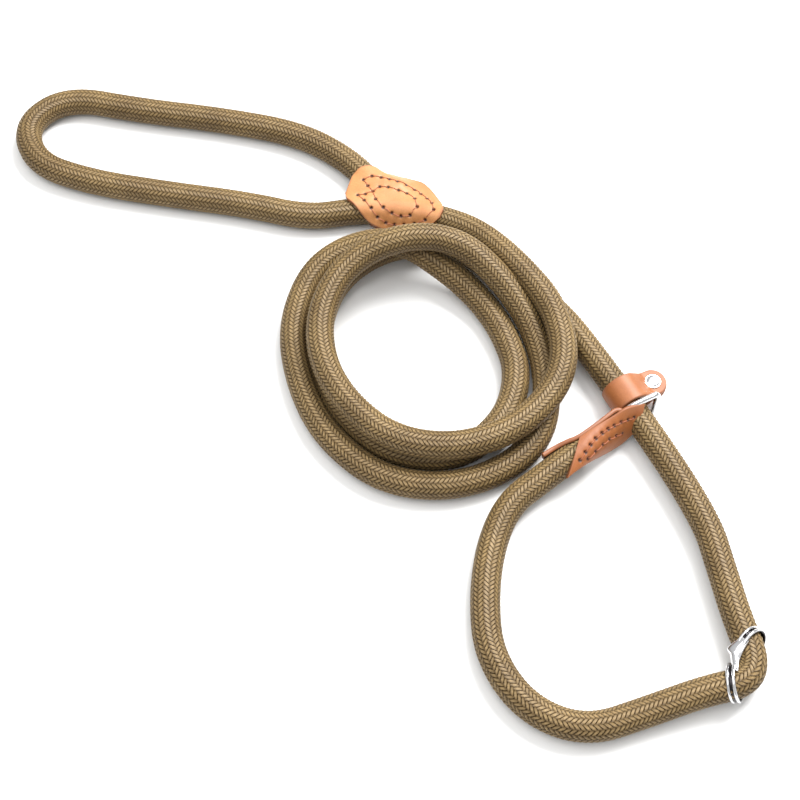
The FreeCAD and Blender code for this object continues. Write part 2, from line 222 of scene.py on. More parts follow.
# ---- Materials
class Nodes:
    """Short calls for a material's node tree."""

    def __init__(self, name):
        self.material = bpy.data.materials.new(name)
        self.material.use_nodes = True
        self.tree = self.material.node_tree
        self.shader = self.tree.nodes["Principled BSDF"]

    def add(self, kind, inputs=None, **settings):
        node = self.tree.nodes.new(kind)
        for key, value in settings.items():
            setattr(node, key, value)
        for key, value in (inputs or {}).items():
            self.set(node.inputs[key], value)
        return node

    def set(self, socket, value):
        if isinstance(value, bpy.types.NodeSocket):
            self.tree.links.new(value, socket)
        else:
            socket.default_value = value

    def math(self, operation, *values):
        node = self.add("ShaderNodeMath", operation=operation)
        for socket, value in zip(node.inputs, values):
            self.set(socket, value)
        return node.outputs[0]

    def ramp(self, value, stops):
        node = self.add("ShaderNodeValToRGB", {"Fac": value})
        while len(node.color_ramp.elements) < len(stops):
            node.color_ramp.elements.new(0.5)
        for element, (position, colour) in zip(node.color_ramp.elements, stops):
            element.position = position
            element.color = (*colour, 1)
        return node.outputs["Color"]

    def noise(self, scale, detail=4.0, roughness=0.6):
        place = self.add("ShaderNodeTexCoord").outputs["Object"]
        node = self.add("ShaderNodeTexNoise", {"Vector": place, "Scale": scale, "Detail": detail})
        node.inputs["Roughness"].default_value = roughness
        return node.outputs["Fac"]

    def mix(self, fac, a, b, blend="MIX"):
        node = self.add("ShaderNodeMix", data_type="RGBA", blend_type=blend)
        self.set(node.inputs["Factor"], fac)
        self.set(node.inputs["A"], a)
        self.set(node.inputs["B"], b)
        return node.outputs["Result"]

    def bump(self, height, distance, strength=1.0, under=None):
        node = self.add("ShaderNodeBump", {"Height": height, "Distance": distance, "Strength": strength})
        if under is not None:
            self.set(node.inputs["Normal"], under)
        return node.outputs["Normal"]


def rope_material():
    n = Nodes("rope_braid")
    weave = n.add("ShaderNodeSeparateXYZ", {"Vector": n.add("ShaderNodeUVMap", uv_map="weave").outputs["UV"]})
    u = weave.outputs["X"]
    v = weave.outputs["Y"]
    phase = n.math("MULTIPLY", n.math("SUBTRACT", u, 0.25), math.pi)
    over = n.math("MULTIPLY", n.math("COSINE", phase), FLOAT_LIFT)
    heights = []
    fibres = []
    for sign, lift in (("SUBTRACT", over), ("ADD", n.math("MULTIPLY", over, -1.0))):
        across = n.math(sign, v, u)
        off = n.math("PINGPONG", across, 0.5)
        flat = n.math("MULTIPLY", off, 2.0)
        square = n.math("SUBTRACT", 1.0, n.math("POWER", flat, YARN_POWER))
        round_ = n.math("SQRT", n.math("MAXIMUM", square, 0.0))
        heights.append(n.math("ADD", lift, n.math("MULTIPLY", n.math("SUBTRACT", round_, 1.0), YARN_H)))
        fibres.append(n.math("SINE", n.math("MULTIPLY", across, 2 * math.pi * FIBRES)))
    height = n.math("MAXIMUM", *heights)
    first = n.math("GREATER_THAN", heights[0], heights[1])
    fibre = n.math("ADD", n.math("MULTIPLY", fibres[0], first),
                   n.math("MULTIPLY", fibres[1], n.math("SUBTRACT", 1.0, first)))
    level = n.add("ShaderNodeMapRange", {"Value": height, "From Min": -0.42, "From Max": 0.22}).outputs[0]
    # Painted shade and highlight: near-black in the gaps between yarns, light tan on the float tops, set by
    # braid height
    colour = n.ramp(level, [
        (0.0, (0.009, 0.0045, 0.002)),
        (0.30, (0.028, 0.0155, 0.006)),
        (0.62, (0.094, 0.061, 0.024)),
        (1.0, (0.235, 0.162, 0.069)),
    ])
    patches = n.ramp(n.noise(55.0, 3.0), [(0.35, (0.80, 0.76, 0.70)), (0.65, (1.10, 1.08, 1.04))])
    colour = n.mix(1.0, colour, patches, "MULTIPLY")
    fleck = n.ramp(n.noise(900.0, 2.0), [(0.3, (0.72, 0.70, 0.66)), (0.7, (1.15, 1.13, 1.1))])
    colour = n.mix(1.0, colour, fleck, "MULTIPLY")
    n.set(n.shader.inputs["Base Color"], colour)
    n.shader.inputs["Roughness"].default_value = 0.5
    gloss = n.add("ShaderNodeMapRange", {"Value": level, "From Min": 0.3, "To Min": 0.02, "To Max": 0.45})
    n.set(n.shader.inputs["Specular IOR Level"], gloss.outputs[0])
    n.shader.inputs["Sheen Weight"].default_value = 0.04
    n.shader.inputs["Sheen Roughness"].default_value = 0.4
    n.shader.inputs["Sheen Tint"].default_value = (0.9, 0.8, 0.6, 1)
    fine = n.bump(fibre, 0.03 * MM, 0.35)
    n.set(n.shader.inputs["Normal"], n.bump(height, 1.0 * MM, 0.9, fine))
    return n.material


def leather_material(name, top, shade):
    """Vegetable-tanned leather. The colour attribute's red channel paints shade into the stitch holes; its
    green channel gives cut edges their darker edge tone.
    """
    n = Nodes(name)
    cloud = n.noise(90.0, 5.0)
    colour = n.ramp(cloud, [(0.30, shade), (0.70, top)])
    pores = n.add("ShaderNodeTexVoronoi", {"Scale": 1800.0})
    n.set(pores.inputs["Vector"], n.add("ShaderNodeTexCoord").outputs["Object"])
    grain = n.add("ShaderNodeMapRange", {"Value": pores.outputs["Distance"], "To Min": 0.86, "To Max": 1.06})
    colour = n.mix(1.0, colour, grain.outputs[0], "MULTIPLY")
    shade_and_edge_tone = n.add("ShaderNodeAttribute", attribute_name="shade_and_edge_tone").outputs["Color"]
    channels = n.add("ShaderNodeSeparateColor", {"Color": shade_and_edge_tone})
    colour = n.mix(channels.outputs["Green"], colour, (0.24, 0.082, 0.030, 1))
    # Painted shade: near-black in and round the stitch holes, from the red channel
    colour = n.mix(channels.outputs["Red"], colour, (0.030, 0.010, 0.006, 1))
    n.set(n.shader.inputs["Base Color"], colour)
    n.shader.inputs["Roughness"].default_value = 0.5
    n.shader.inputs["Subsurface Weight"].default_value = 0.04
    n.shader.inputs["Subsurface Radius"].default_value = (0.002, 0.001, 0.0005)
    fine = n.bump(pores.outputs["Distance"], 0.05 * MM, 0.3)
    n.set(n.shader.inputs["Normal"], n.bump(n.noise(700.0, 3.0), 0.10 * MM, 0.35, fine))
    return n.material


def thread_material():
    n = Nodes("thread")
    colour = n.ramp(n.noise(1500.0, 2.0), [(0.3, (0.27, 0.075, 0.033)), (0.7, (0.38, 0.13, 0.062))])
    n.set(n.shader.inputs["Base Color"], colour)
    n.shader.inputs["Roughness"].default_value = 0.6
    n.set(n.shader.inputs["Normal"], n.bump(n.noise(2500.0, 2.0), 0.05 * MM, 0.5))
    return n.material


def chrome_material():
    n = Nodes("chrome_plate")
    colour = n.ramp(n.noise(120.0, 3.0), [(0.3, (0.60, 0.60, 0.61)), (0.7, (0.70, 0.70, 0.71))])
    shade_and_edge_tone = n.add("ShaderNodeAttribute", attribute_name="shade_and_edge_tone").outputs["Color"]
    groove = n.add("ShaderNodeSeparateColor", {"Color": shade_and_edge_tone}).outputs["Red"]
    # Painted shade: the bands' groove darkened to near-black by the red channel
    n.set(n.shader.inputs["Base Color"], n.mix(groove, colour, (0.035, 0.033, 0.035, 1)))
    n.shader.inputs["Metallic"].default_value = 1.0
    wear = n.add("ShaderNodeMapRange", {"Value": n.noise(400.0, 4.0), "To Min": 0.06, "To Max": 0.2})
    n.set(n.shader.inputs["Roughness"], wear.outputs[0])
    n.set(n.shader.inputs["Normal"], n.bump(n.noise(220.0, 2.0), 0.02 * MM, 0.2))
    return n.material


def floor_material():
    n = Nodes("floor")
    n.set(n.shader.inputs["Base Color"],
          n.ramp(n.noise(3.0, 2.0), [(0.3, (0.73, 0.73, 0.725)), (0.7, (0.75, 0.75, 0.745))]))
    n.shader.inputs["Roughness"].default_value = 0.9
    n.shader.inputs["Specular IOR Level"].default_value = 0.1
    return n.material


ROPE = rope_material()
LEATHER = leather_material("patch_leather", (0.49, 0.222, 0.080), (0.41, 0.165, 0.053))
STRAP_LEATHER = leather_material("strap_leather", (0.32, 0.108, 0.028), (0.26, 0.078, 0.020))
THREAD = thread_material()
CHROME = chrome_material()
FLOOR = floor_material()


# ---- Leather sheets and fittings, each in its own axes like in the part
HOLE_R = 0.62
HOLE_DEPTH = 0.9
THREAD_R = 0.17
THREAD_DIVE = 1.25  # how far the thread goes down into a hole


def placed(points, turn, origin):
    """Points from axes turned about Z at an origin, to the shared frame."""
    angle = math.radians(turn)
    x = origin[0] + points[..., 0] * math.cos(angle) - points[..., 1] * math.sin(angle)
    y = origin[1] + points[..., 0] * math.sin(angle) + points[..., 1] * math.cos(angle)
    return np.stack([x, y, points[..., 2] + origin[2]], axis=-1)


def local_points(points, turn, origin):
    angle = math.radians(turn)
    x = points[..., 0] - origin[0]
    y = points[..., 1] - origin[1]
    return np.stack([x * math.cos(angle) + y * math.sin(angle), y * math.cos(angle) - x * math.sin(angle),
                     points[..., 2] - origin[2]], axis=-1)


def smooth_line(points, count, closed=False):
    """Even points along a Catmull-Rom curve through the given ones."""
    points = np.array(points, dtype=float)
    if closed:
        ends = np.vstack([points[-1:], points, points[:2]])
    else:
        ends = np.vstack([2 * points[:1] - points[1:2], points, 2 * points[-1:] - points[-2:-1]])
    t = np.linspace(0, 1, 24, endpoint=False)[:, None]
    parts = []
    for a, b, c, d in zip(ends, ends[1:], ends[2:], ends[3:]):
        parts.append(0.5 * (2 * b + (c - a) * t + (2 * a - 5 * b + 4 * c - d) * t ** 2
                            + (3 * b - a - 3 * c + d) * t ** 3))
    line = np.vstack(parts + [points[:1] if closed else points[-1:]])
    along = lengths_along(line)
    even = np.linspace(0, along[-1], count)
    return np.stack([np.interp(even, along, line[:, axis]) for axis in range(line.shape[1])], axis=1)


def sheet_normals(grid):
    along = np.gradient(grid, axis=0)
    across = np.gradient(grid, axis=1)
    normals = np.cross(along, across)
    return normals / np.maximum(np.linalg.norm(normals, axis=-1, keepdims=True), 1e-9)


def strip_grid(low, high, sag, rows, columns):
    """Sheet between two edges, bowed out between them by the sag at each station."""
    low = smooth_line(low, rows)
    high = smooth_line(high, rows)
    bow = smooth_line([[value] for value in sag], rows)
    q = np.linspace(0, 1, columns)[None, :, None]
    flat = low[:, None] * (1 - q) + high[:, None] * q
    return flat + sheet_normals(flat) * bow[:, None] * 4 * q * (1 - q)


# Colour attribute: red is painted shade (stitch holes, band grooves), green is the darker edge tone of cut
# leather
def mark(piece, red, green):
    colours = np.stack([red, green, np.zeros_like(red), np.ones_like(red)], axis=-1)
    layer = piece.data.color_attributes.new("shade_and_edge_tone", "FLOAT_COLOR", "POINT")
    layer.data.foreach_set("color", colours.reshape(-1).astype(np.float32))


def thicken(name, grid, thickness, holes=(), hole_r=0.5, hole_depth=0.9):
    """Leather of a thickness about a sheet: rounded rims, stitch holes pressed into its outer side."""
    normals = sheet_normals(grid)
    pressed = np.zeros(grid.shape[:2])
    hole_shade = np.zeros(grid.shape[:2])
    for hole in holes:
        off = np.linalg.norm(grid - hole, axis=-1) / hole_r
        pressed = np.maximum(pressed, np.exp(-off ** 2) * hole_depth + 0.16 * np.exp(-(off / 3.2) ** 2))
        # Painted shade round each stitch hole, written to the red channel below
        hole_shade = np.maximum(hole_shade, np.clip(2.2 - off * 1.3, 0, 1))
    half = thickness / 2
    top = grid + normals * (half - pressed[..., None])
    under = grid - normals * half
    outward_low = units(grid[:, 0] - grid[:, 1])
    outward_high = units(grid[:, -1] - grid[:, -2])
    rim_low = []
    rim_high = []
    for degrees in (55, 20, -20, -55):
        lift = half * math.sin(math.radians(degrees))
        out = half * 0.55 * math.cos(math.radians(degrees))
        rim_high.append(grid[:, -1] + normals[:, -1] * lift + outward_high * out)
        rim_low.append(grid[:, 0] - normals[:, 0] * lift + outward_low * out)
    sides = [top, np.stack(rim_high, axis=1), under[:, ::-1], np.stack(rim_low, axis=1)]
    loop = np.concatenate(sides, axis=1)
    columns = grid.shape[1]
    red = np.concatenate([hole_shade, np.zeros((len(grid), columns + 8))], axis=1)
    edge = np.zeros(loop.shape[1])
    edge[columns:columns + 4] = 1
    edge[-4:] = 1
    green = np.broadcast_to(edge, loop.shape[:2]).copy()
    across = lengths_along(grid[len(grid) // 2])
    from_side = np.minimum(across, across[-1] - across)
    along = lengths_along(grid[:, columns // 2])
    from_end = np.minimum(along, along[-1] - along)
    from_rim = np.minimum(from_side[None, :], from_end[:, None])
    green[:, :columns] = 0.6 * np.exp(-(from_rim / 0.7) ** 2)
    steps = units(grid[0] - grid[1]).mean(axis=0) * 0.25
    steps_last = units(grid[-1] - grid[-2]).mean(axis=0) * 0.25
    ends = [shrink(loop[0], grid[0], 0.6) + steps, shrink(loop[-1], grid[-1], 0.6) + steps_last]
    loop = np.concatenate([ends[0][None], loop, ends[1][None]])
    red = np.vstack([red[:1] * 0, red, red[-1:] * 0])
    green = np.vstack([green[:1] * 0 + 1, green, green[-1:] * 0 + 1])
    green[1] = np.maximum(green[1], 0.5)
    green[-2] = np.maximum(green[-2], 0.5)
    uvs = np.zeros((loop.shape[0], loop.shape[1] + 1, 2))
    piece = grid_mesh(name, loop, uvs, close_v=True, caps=True)
    mark(piece, red, green)
    return piece


def shrink(loop, line, share):
    """The loop drawn in towards the sheet's middle line, for an end that isn't knife-sharp."""
    off = np.linalg.norm(loop[:, None] - line[None], axis=-1)
    nearest = line[off.argmin(axis=1)]
    return nearest + (loop - nearest) * share


def tube_piece(name, line, radius, sides=14, closed=False):
    """Round wire or thread along a line."""
    tangents, across, up = carried_frames(line)
    angles = np.linspace(0, 2 * math.pi, sides, endpoint=False)
    ring = np.cos(angles)[None, :, None] * across[:, None] + np.sin(angles)[None, :, None] * up[:, None]
    points = line[:, None] + ring * radius
    if closed:
        points[-1] = points[0]
    uvs = np.zeros((len(line), sides + 1, 2))
    return grid_mesh(name, points, uvs, close_v=True, caps=not closed)


def lathe_piece(name, profile, centre, axis, turns=96, groove_r=0):
    """Ring of a (radius, distance along the axis) profile."""
    axis = units(np.array(axis, dtype=float))
    side = units(np.cross(axis, (0.1, 0.2, 1.0)))
    up = np.cross(side, axis)
    angles = np.linspace(0, 2 * math.pi, turns, endpoint=False)
    spokes = np.cos(angles)[:, None] * side + np.sin(angles)[:, None] * up
    profile = np.array(profile, dtype=float)
    points = np.array(centre) + profile[:, None, :1] * spokes[None] + profile[:, None, 1:] * axis
    uvs = np.zeros((len(profile), turns + 1, 2))
    piece = grid_mesh(name, points, uvs, close_v=True)
    # Painted shade in the groove: profile points inside groove_r get the red channel
    groove_shade = np.clip((groove_r - profile[:, 0]) / 0.3, 0, 1) if groove_r else np.zeros(len(profile))
    mark(piece, np.repeat(groove_shade, turns), np.zeros(len(profile) * turns))
    return piece


def sample(grid, u, q):
    """A point of a sheet at shares along and across it."""
    i = u * (grid.shape[0] - 1)
    j = q * (grid.shape[1] - 1)
    return grid[int(round(i)), int(round(j))]


def stitched(grid, holes, runs, lift, thickness):
    """Thread through holes given as shares (u, q) of the sheet. Each run lists its holes in order."""
    normals = sheet_normals(grid)
    lines = []
    for run in runs:
        points = []
        for first, second in zip(run, run[1:]):
            a, b = holes[first], holes[second]
            points.append(sample(grid, *a) + sample(normals, *a) * (thickness / 2 - THREAD_DIVE))
            for share, height in ((0.22, 0.0), (0.5, lift), (0.78, 0.0)):
                u = a[0] + (b[0] - a[0]) * share
                q = a[1] + (b[1] - a[1]) * share
                points.append(sample(grid, u, q) + sample(normals, u, q) * (thickness / 2 + height))
        end = holes[run[-1]]
        points.append(sample(grid, *end) + sample(normals, *end) * (thickness / 2 - THREAD_DIVE))
        lines.append(smooth_line(points, len(points) * 6))
    return lines


def dress(piece, material):
    piece.data.materials.clear()
    piece.data.materials.append(material)


# ---- Camera, floor and light
def look_at(thing, target):
    direction = np.array(target) - np.array(thing.location)
    yaw = math.atan2(direction[1], direction[0]) - math.pi / 2
    pitch = math.atan2(direction[2], math.hypot(direction[0], direction[1]))
    thing.rotation_euler = (math.pi / 2 + pitch, 0, yaw)


def camera():
    data = bpy.data.cameras.new("camera")
    data.angle = math.radians(29.33)
    data.clip_start = 0.01
    eye = bpy.data.objects.new("camera", data)
    bpy.context.scene.collection.objects.link(eye)
    eye.location = (0.002, -0.428, 0.5681)
    look_at(eye, (0.002, -0.1, 0.0))
    bpy.context.scene.camera = eye


def area_light(name, place, target, size, power):
    data = bpy.data.lights.new(name, "AREA")
    data.size = size
    data.energy = power
    lamp = bpy.data.objects.new(name, data)
    bpy.context.scene.collection.objects.link(lamp)
    lamp.location = place
    look_at(lamp, target)


def studio():
    bpy.ops.mesh.primitive_plane_add(size=6, location=(0, 0, -0.0002))
    floor = bpy.context.object
    floor.name = "floor"
    floor.data.materials.append(FLOOR)
    world = bpy.data.worlds.new("studio")
    world.use_nodes = True
    tree = world.node_tree
    split = tree.nodes.new("ShaderNodeSeparateXYZ")
    tree.links.new(tree.nodes.new("ShaderNodeTexCoord").outputs["Generated"], split.inputs[0])
    ramp = tree.nodes.new("ShaderNodeValToRGB")
    tree.links.new(split.outputs["Z"], ramp.inputs["Fac"])
    stops = [(0.0, 0.45), (0.10, 0.55), (0.34, 0.8), (1.0, 1.0)]
    while len(ramp.color_ramp.elements) < len(stops):
        ramp.color_ramp.elements.new(0.5)
    for element, (height, grey) in zip(ramp.color_ramp.elements, stops):
        element.position = height
        element.color = (grey, grey, grey, 1)
    tree.links.new(ramp.outputs["Color"], tree.nodes["Background"].inputs["Color"])
    tree.nodes["Background"].inputs["Strength"].default_value = 0.92
    bpy.context.scene.world = world
    area_light("key", (0.55, 0.55, 1.1), (0.02, -0.09, 0), 0.7, 37)
    area_light("top", (-0.3, -0.2, 1.3), (0, -0.1, 0), 1.2, 12)
    bpy.context.scene.view_settings.view_transform = "Standard"


camera()
studio()

route = Rope(HANDLE_ROUTE + coil_points() + LEAD_ROUTE + FOLD_ROUTE + NOOSE_ROUTE)

# ---- Handle patch
PATCH_TURN = -17.0
PATCH_T = 1.6
# The near edge of the upper leather from left to right, and the far one: along, across, underside
PATCH_NEAR = [
    (-22.2, -5, 10.8), (-20.6, -8, 11.6), (-16.5, -10.4, 11.2), (-12, -12.9, 9.2), (-7, -14.3, 6),
    (0, -13.8, 3.5),
    (8, -12.3, 3.4), (15, -10.6, 5.5), (20, -9, 9.5), (22.9, -6.8, 12),
]
PATCH_FAR = [
    (-22.6, 5, 10.2), (-21.8, 7.6, 9.4), (-19.6, 10.6, 8), (-15, 12.9, 6.8), (-9.4, 13.9, 6.2),
    (-3.9, 14, 6.2), (2.8, 13.6, 7.0), (8.9, 12.6, 8.2), (13.6, 9.5, 8.9), (18.2, 4.8, 10.2),
    (21.2, 1.0, 11.8), (23.3, -3.0, 12.8),
]


def inside(outline, x, y):
    """Even-odd test of points against a closed outline."""
    odd = np.zeros(x.shape, dtype=bool)
    for a, b in zip(outline, np.roll(outline, -1, axis=0)):
        crosses = (a[1] > y) != (b[1] > y)
        with np.errstate(divide="ignore", invalid="ignore"):
            at = a[0] + (y - a[1]) * (b[0] - a[0]) / (b[1] - a[1])
        odd ^= crosses & (x < at)
    return odd


OUT_OF_REACH = 99


def draped(rope, near, far):
    """Leather pulled taut over the strands, held at the height of its edge all round. Returns the sheet."""
    near = smooth_line(near, 190)
    far = smooth_line(far, 190)
    xs = np.arange(-27, 28, 0.5)
    ys = np.arange(-19, 20, 0.5)
    x, y = np.meshgrid(xs, ys, indexing="ij")
    strands = np.zeros(x.shape)
    for point in rope:
        off = (x - point[0]) ** 2 + (y - point[1]) ** 2
        top = point[2] + np.sqrt(np.clip(ROPE_R ** 2 - off, 0, None)) * (off < ROPE_R ** 2)
        strands = np.maximum(strands, top - OUT_OF_REACH * (off >= ROPE_R ** 2))
    rim = np.concatenate([near, far[::-1]])
    held = ~inside(rim, x, y)
    flat_points = np.stack([x, y], axis=-1).reshape(-1, 1, 2)
    nearest = np.linalg.norm(rim[None, :, :2] - flat_points, axis=-1).argmin(axis=1)
    edge = np.maximum(rim[nearest, 2].reshape(x.shape), strands)
    height = edge.copy()
    for step in range(900):
        wide = np.pad(height, 1, mode="edge")
        mean = (wide[:-2, 1:-1] + wide[2:, 1:-1] + wide[1:-1, :-2] + wide[1:-1, 2:]) / 4
        height = np.where(held, edge, np.maximum(mean, strands))
    for step in range(4):
        wide = np.pad(height, 1, mode="edge")
        height = (wide[:-2, 1:-1] + wide[2:, 1:-1] + wide[1:-1, :-2] + wide[1:-1, 2:]) / 4
    q = np.linspace(0, 1, 120)[None, :, None]
    flat = near[:, None] * (1 - q) + far[:, None] * q
    i = np.clip((flat[..., 0] - xs[0]) / 0.5, 0, len(xs) - 1.001)
    j = np.clip((flat[..., 1] - ys[0]) / 0.5, 0, len(ys) - 1.001)
    a, b = i.astype(int), j.astype(int)
    s, t = i - a, j - b
    rise = (height[a, b] * (1 - s) * (1 - t) + height[a + 1, b] * s * (1 - t)
            + height[a, b + 1] * (1 - s) * t + height[a + 1, b + 1] * s * t)
    flat[..., 2] = rise + PATCH_T / 2
    return flat


PATCH_HOLES = [  # along and across, in order along the thread: outer run, then inner run
    (-16.5, 4.2), (-13.3, 6.7), (-9.0, 7.2), (-5.2, 7.4), (-1.3, 7.3), (2.9, 7.1), (7.0, 5.9), (10.7, 4.3),
    (14.3, 2.1), (17.3, -0.5), (19.3, -4.1), (16.6, -8.0), (12.0, -9.6), (7.4, -10.6), (3.0, -11.6),
    (-1.0, -12.0),
    (-5.0, -11.6), (-8.6, -9.9), (-12.5, -7.4), (-16.4, -5.2), (-13.1, -3.7), (-10.3, -1.4), (-13.5, 1.2),
    (-8.2, 1.9), (-4.3, 2.8), (0.5, 2.6), (4.7, 2.1), (9.1, 0.1), (11.6, -4.2), (9.2, -7.8), (5.2, -8.8),
    (1.1, -8.8), (-3.3, -8.0), (-7.8, -5.5),
]
PATCH_RUNS = [list(range(23)) + [0], [21] + list(range(23, 34)) + [21]]

near_line = route.line[(np.abs(route.line[:, 0]) < 45) & (np.abs(route.line[:, 1] - 5) < 45)][::2]
patch_rope = local_points(near_line, PATCH_TURN, (0, 0, 0))
patch_rope = patch_rope[(np.abs(patch_rope[:, 0]) < 32) & (np.abs(patch_rope[:, 1]) < 24)]
patch_sheet = draped(patch_rope, PATCH_NEAR, PATCH_FAR)
patch_sheet_world = placed(patch_sheet, PATCH_TURN, (0, 0, 0))

# ---- Where the parts on the lead stand
LEAD_FROM = (87.8, -84.2)
LEAD_TURN = 27.46
CAP_TURN = -140.9
LEATHER_T = 1.9
RING_LEFT = -9.8
RING_RIGHT = 9.2
RING_HIGH = 17.3


def along_lead(distance, across=0.0, z=RAISED_Z):
    turn = math.radians(LEAD_TURN)
    x = LEAD_FROM[0] + distance * math.sin(turn) + across * math.cos(turn)
    y = LEAD_FROM[1] - distance * math.cos(turn) + across * math.sin(turn)
    return (x, y, z)


STOPPER = along_lead(21.5)
RING = along_lead(30.2, z=0)
BAR = along_lead(30.2, RING_LEFT, 0)

# ---- End cap: near leaf from the mouth to the lead, far leaf from its tip round the bar
CAP_NEAR_LOW = [(35.2, 7.1, 12.0), (29.2, 7.0, 12.4), (22.0, 6.8, 10.6), (11.8, 6.5, 5.6), (3.1, 6.4, 3.2),
                (-4.0, 7.2, 7.4)]
CAP_NEAR_HIGH = [(20.6, -1.6, 16.0), (15.5, -1.1, 16.5), (10.5, -0.6, 17.0), (3.6, 0.3, 18.0),
                 (-2.7, 1.2, 18.9), (-10.7, 3.2, 16.2)]
CAP_NEAR_BOW = [1.4, 1.8, 1.6, 1.2, 0.8, 0.8]
CAP_FAR_HIGH = [(36, -6.4, 12.4), (30, -6.1, 12.0), (25, -4.6, 13.6), (20, -2.9, 14.6), (10.5, -2.4, 14.8),
                (3, -2.5, 14.6), (0, -2.6, 14.4), (-1.9, -1.9, 14.2), (-2.7, 0, 14.2), (-1.9, 1.9, 14.2)]
CAP_FAR_LOW = [(33, -1.5, 1.1), (28, -1, 1.1), (24, -0.5, 1.2), (19, 0, 1.8), (10.5, -0.6, 3.4),
               (3, -2.2, 4.4),
               (0, -2.6, 4.6), (-1.9, -1.9, 4.6), (-2.7, 0, 4.6), (-1.9, 1.9, 4.6)]
CAP_FAR_BOW = [3.0, 3.0, 2.6, 2.2, 1.4, 0.4, 0, 0, 0, 0]
cap_near_sheet = placed(strip_grid(CAP_NEAR_LOW, CAP_NEAR_HIGH, CAP_NEAR_BOW, 200, 64), CAP_TURN, BAR)
cap_far_sheet = placed(strip_grid(CAP_FAR_HIGH, CAP_FAR_LOW, CAP_FAR_BOW, 160, 40), CAP_TURN, BAR)

# ---- Stopper strap: its tail's upper layer, round the lead, its tail's lower layer
STRAP_HALF_W = 5.75
STRAP_R = 7.45
RIVET_AT = 12.85
STRAP_TURNS = [math.radians(turn) for turn in range(48, 313, 12)]
STRAP_PATH = [(18.5, 1.1), (15, 1.1), (12, 1.15), (9.6, 1.7), (7.4, 3.4)] + [
    (STRAP_R * math.cos(turn), STRAP_R * math.sin(turn)) for turn in STRAP_TURNS
] + [(7.4, -3.4), (9.6, -1.7), (12, -1.15), (15, -1.1), (18.5, -1.1)]
strap_line = smooth_line(STRAP_PATH, 260)
past_rivet = np.clip(strap_line[:, 0] - RIVET_AT, 0, None)
strap_half = np.sqrt(np.clip(STRAP_HALF_W ** 2 - past_rivet ** 2, 0.4, None))
strap_q = np.linspace(1, -1, 36)[None, :]
strap_sheet = np.stack(np.broadcast_arrays(
    strap_line[:, None, 0], strap_half[:, None] * strap_q, strap_line[:, None, 1]), axis=-1)
strap_sheet = placed(strap_sheet, LEAD_TURN, STOPPER)

# ---- Slip ring's centre line
RING_BEND = 2.5
RING_WIDE_BEND = 7.5  # at the top of the cap's side
RING_WIRE_R = 1.25
ring_corners = [(RING_LEFT, RING_WIRE_R, 180), (RING_RIGHT, RING_WIRE_R, 270),
                (RING_RIGHT, RING_HIGH, 0), (RING_LEFT, RING_HIGH, 90)]
ring_line = []
for x, z, start in ring_corners:
    bend = RING_WIDE_BEND if x < 0 and z > 9 else RING_BEND
    cx = x + bend if x < 0 else x - bend
    cz = z + bend if z < 9 else z - bend
    for turn in np.linspace(start, start + 90, 19):
        angle = math.radians(turn)
        ring_line.append((cx + bend * math.cos(angle), 0, cz + bend * math.sin(angle)))
ring_line.append(ring_line[0])
ring_line = np.array(ring_line)

# ---- Size limiter: two grooved bands and the web between them
BAND = [(6.75, -1.6), (7.3, -1.75), (7.7, -1.6), (7.85, -1.2), (7.8, -0.8), (7.5, -0.55), (6.95, -0.5),
        (6.9, 0), (6.95, 0.5), (7.5, 0.55), (7.8, 0.8), (7.85, 1.2), (7.7, 1.6), (7.3, 1.75),
        (6.75, 1.6), (6.65, 0)]
# Radius inside which the band's groove gets painted shade
BAND_GROOVE_R = 7.45
# Centre, heading and tilt of each band's axis
BANDS = [((137.2, -215.0, 9.4), -45, 25), ((129.6, -229.9, 9.0), -184, -23)]
WEB_LEFT = [(133.3, -214.1, 14.6), (130.7, -215.4, 13.4), (128.2, -217.4, 12.2), (128.9, -219.4, 12.5),
            (129.0, -223.4, 13.0), (128.9, -226.8, 13.6)]
WEB_RIGHT = [(135.1, -215.4, 15.3), (133.9, -217.2, 15.0), (132.6, -219.4, 14.4), (131.2, -222.2, 14.0),
             (130.3, -225.0, 14.2), (130.0, -227.2, 14.6)]


def heading_axis(heading, tilt):
    heading = math.radians(heading)
    tilt = math.radians(tilt)
    return (math.cos(heading) * math.cos(tilt), math.sin(heading) * math.cos(tilt), math.sin(tilt))


# ---- Pieces
def hold(piece, body, material, slot, *nodes):
    dress(piece, material)
    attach(piece, body)
    if nodes:
        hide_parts(*nodes)
    return piece


patch_holes = []
patch_local = local_points(patch_sheet_world, PATCH_TURN, (0, 0, 0))
for x, y in PATCH_HOLES:
    off = np.hypot(patch_local[..., 0] - x, patch_local[..., 1] - y)
    patch_holes.append(np.unravel_index(off.argmin(), off.shape))
patch_shares = [(i / (patch_sheet.shape[0] - 1), j / (patch_sheet.shape[1] - 1)) for i, j in patch_holes]
patch_hole_points = [patch_sheet_world[i, j] for i, j in patch_holes]
hold(thicken("patch_upper", patch_sheet_world, PATCH_T, patch_hole_points, HOLE_R, HOLE_DEPTH),
     "rope", LEATHER, "tan_leather", "handle_patch_top")
base = patch_sheet.copy()
base[..., 2] = PATCH_T / 2
base[..., :2] = base[..., :2] * 0.86 + np.array([1.5, 0.8])
hold(thicken("patch_lower", placed(base[::2, ::3], PATCH_TURN, (0, 0, 0)), PATCH_T - 0.02),
     "rope", LEATHER, "tan_leather", "handle_patch_bottom")
for number, line in enumerate(stitched(patch_sheet_world, patch_shares, PATCH_RUNS, 0.08, PATCH_T)):
    piece = tube_piece("patch_thread_%d" % number, line, THREAD_R)
    if number == 0:
        hold(piece, "rope", THREAD, "thread", "handle_patch_stitching")
    else:
        hold(piece, "rope", THREAD, "thread")

